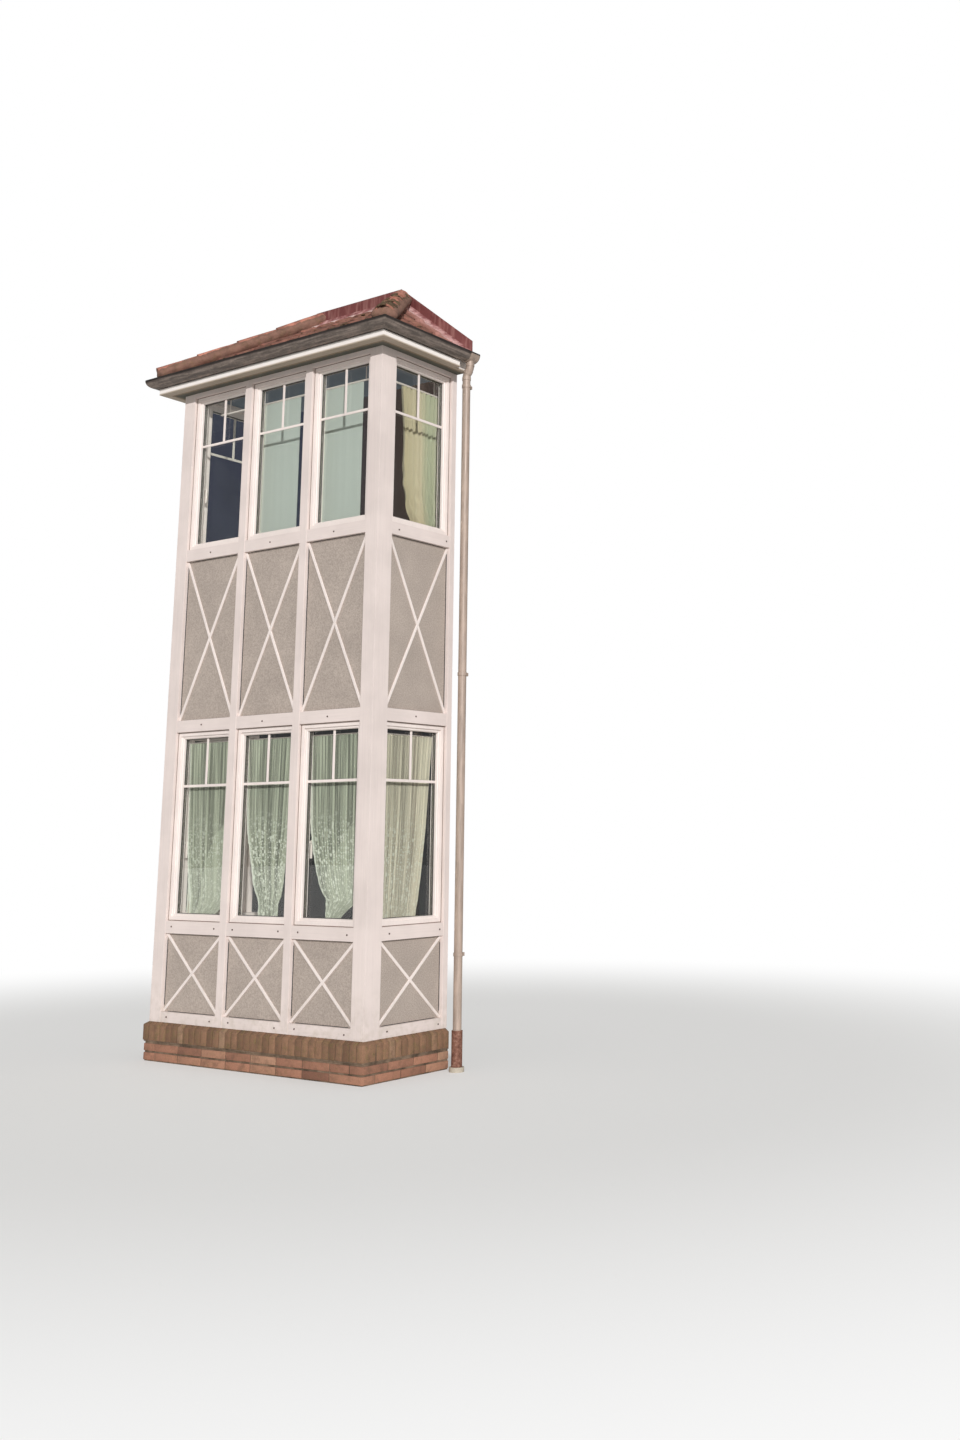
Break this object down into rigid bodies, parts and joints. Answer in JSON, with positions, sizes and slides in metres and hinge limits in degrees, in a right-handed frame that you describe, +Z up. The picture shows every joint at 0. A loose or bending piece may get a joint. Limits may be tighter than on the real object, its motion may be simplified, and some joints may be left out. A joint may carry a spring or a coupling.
{
  "type": "bay window",
  "caption": "Two-storey timber bay window on a brick plinth, with a hipped tiled roof, gutters and a downpipe.",
  "frame": {"origin": "Middle of the bay's width on the house wall's face, at ground level; the plinth stands on z = 0.", "axes": "+X to the right seen from the front, +Y into the house, +Z up."},
  "size_m": [2.5844, 1.0613, 5.885],
  "materials": {
    "woodwork": "painted, slightly weathered",
    "panel": "fine rendered board",
    "brick": "rough fired brick",
    "brick_sill": "rough fired brick with moss",
    "concrete": "rough",
    "lining": "matt painted",
    "glass": "clear double glazing",
    "soffit_wood": "weathered boards",
    "roof_wood": "raw boards",
    "roof_tile": "rough clay with moss",
    "flashing": "matt painted",
    "gutter": "weathered",
    "pipe": "satin, weathered",
    "standpipe": "rusty",
    "net": "pleated net",
    "blind": "flat cloth",
    "curtain": "pleated cloth"
  },
  "bodies": {
    "root": {"plinth_wall": "brick", "plinth_sill": "brick_sill", "ground_floor": "concrete", "upper_floor": "concrete", "ceiling": "lining", "corner_posts": "woodwork", "front_posts": "woodwork", "wall_posts": "woodwork", "bottom_rail": "woodwork", "lower_sill_rail": "woodwork", "middle_rail": "woodwork", "upper_sill_rail": "woodwork", "head_rail": "woodwork", "top_plate": "woodwork", "lower_panels": "panel", "upper_panels": "panel", "lower_crosses": "woodwork", "upper_crosses": "woodwork", "lower_infill": "lining", "upper_infill": "lining", "lower_windows": "woodwork", "upper_windows": "woodwork", "lower_glass": "glass", "upper_glass": "glass", "lower_window_board": "woodwork", "upper_window_board": "woodwork", "soffit": "soffit_wood", "fascia": "woodwork", "roof_boards": "roof_wood", "roof_tiles": "roof_tile", "hip_tiles": "roof_tile", "wall_flashing": "flashing", "gutter_front": "gutter", "gutter_left": "gutter", "gutter_right": "gutter", "gutter_outlet": "pipe", "swan_neck": "pipe", "downpipe": "pipe", "pipe_brackets": "pipe", "standpipe": "standpipe", "drain_collar": "concrete", "curtain_rods": "woodwork", "lower_nets": "net", "upper_blinds": "blind", "upper_curtain": "curtain"}
  },
  "joints": []
}
